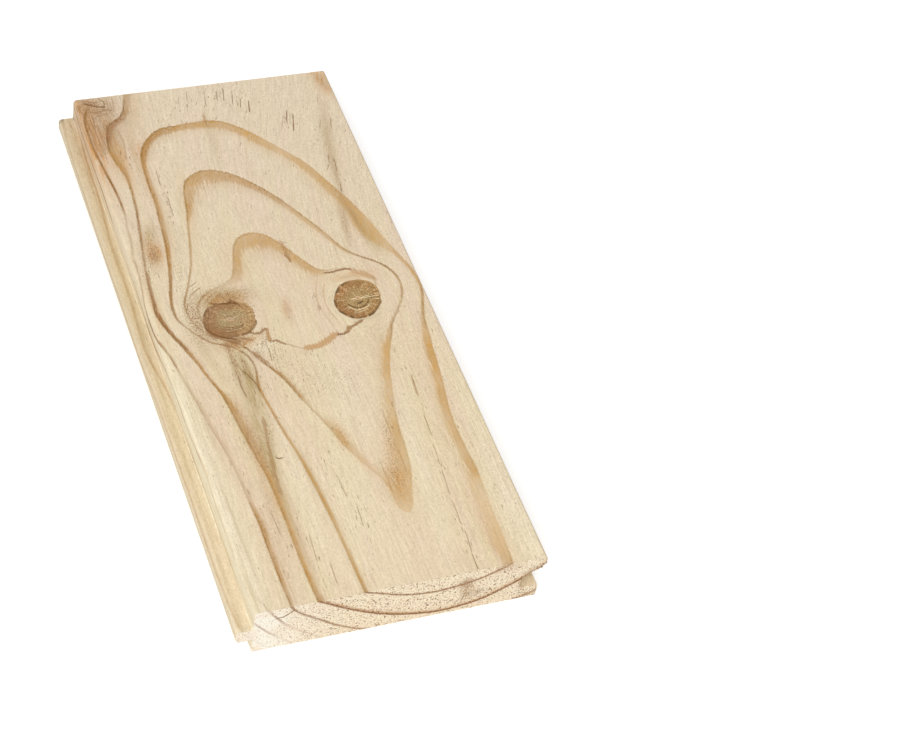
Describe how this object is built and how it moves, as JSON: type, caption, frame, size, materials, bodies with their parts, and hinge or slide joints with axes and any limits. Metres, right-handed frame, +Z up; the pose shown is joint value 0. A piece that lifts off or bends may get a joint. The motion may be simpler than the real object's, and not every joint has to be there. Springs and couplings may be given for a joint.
{
  "type": "tongue and groove floorboard",
  "caption": "Solid softwood floorboard with a tongue on one long edge and a groove on the other, both ends sawn square.",
  "frame": {"origin": "on the floor, under the middle of the board's whole box, tongue included", "axes": "+Y along the grain and the board's length, +Z up through the walking face, +X from the tongue towards the groove"},
  "size_m": [0.1446, 0.338, 0.028],
  "materials": {
    "pine": "matte"
  },
  "bodies": {
    "root": {"floorboard": "pine"}
  },
  "joints": []
}
